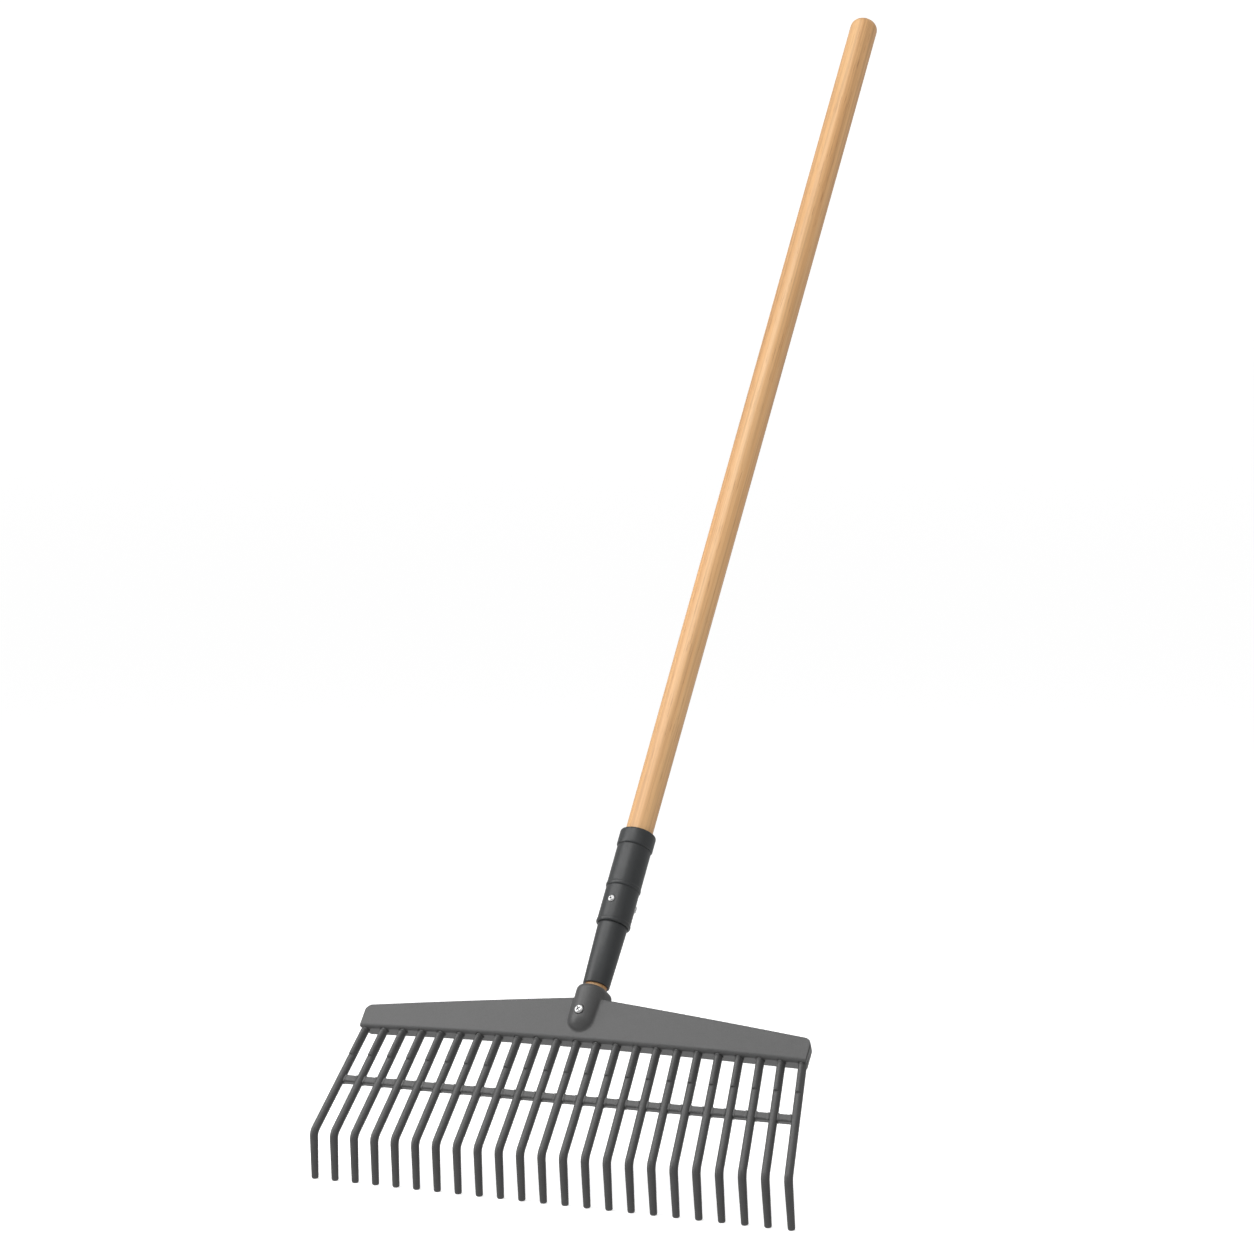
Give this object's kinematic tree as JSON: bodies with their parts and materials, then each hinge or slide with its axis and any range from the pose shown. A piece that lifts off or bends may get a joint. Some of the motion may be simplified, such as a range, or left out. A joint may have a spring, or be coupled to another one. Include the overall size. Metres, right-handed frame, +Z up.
{
  "type": "hay rake",
  "caption": "Long-handled hay rake: moulded head with a row of bent tines, a comb bar, a stepped ferrule and a turned wooden handle.",
  "frame": {"origin": "on the ground at the middle of the line of tine tips", "axes": "+X along the head, +Y from the tines' front towards the side where the handle leans, +Z up"},
  "size_m": [0.553, 0.7757, 1.2847],
  "materials": {
    "wood": "turned ash, clear satin varnish",
    "ferrule_plastic": "satin black moulding",
    "head_plastic": "fine matt moulding texture, mid grey",
    "screw_zinc": "bright zinc plate"
  },
  "bodies": {
    "root": {"handle": "wood", "collar_ring": "ferrule_plastic", "ferrule_upper": "ferrule_plastic", "ferrule_middle": "ferrule_plastic", "ferrule_lower": "ferrule_plastic", "ferrule_screws": "screw_zinc", "boss_screw": "screw_zinc", "head_beam": "head_plastic", "cross_bar": "head_plastic", "tine_01": "head_plastic", "tine_02": "head_plastic", "tine_03": "head_plastic", "tine_04": "head_plastic", "tine_05": "head_plastic", "tine_06": "head_plastic", "tine_07": "head_plastic", "tine_08": "head_plastic", "tine_09": "head_plastic", "tine_10": "head_plastic", "tine_11": "head_plastic", "tine_12": "head_plastic", "tine_13": "head_plastic", "tine_14": "head_plastic", "tine_15": "head_plastic", "tine_16": "head_plastic", "tine_17": "head_plastic", "tine_18": "head_plastic", "tine_19": "head_plastic", "tine_20": "head_plastic", "tine_21": "head_plastic", "tine_22": "head_plastic", "tine_23": "head_plastic"}
  },
  "joints": []
}
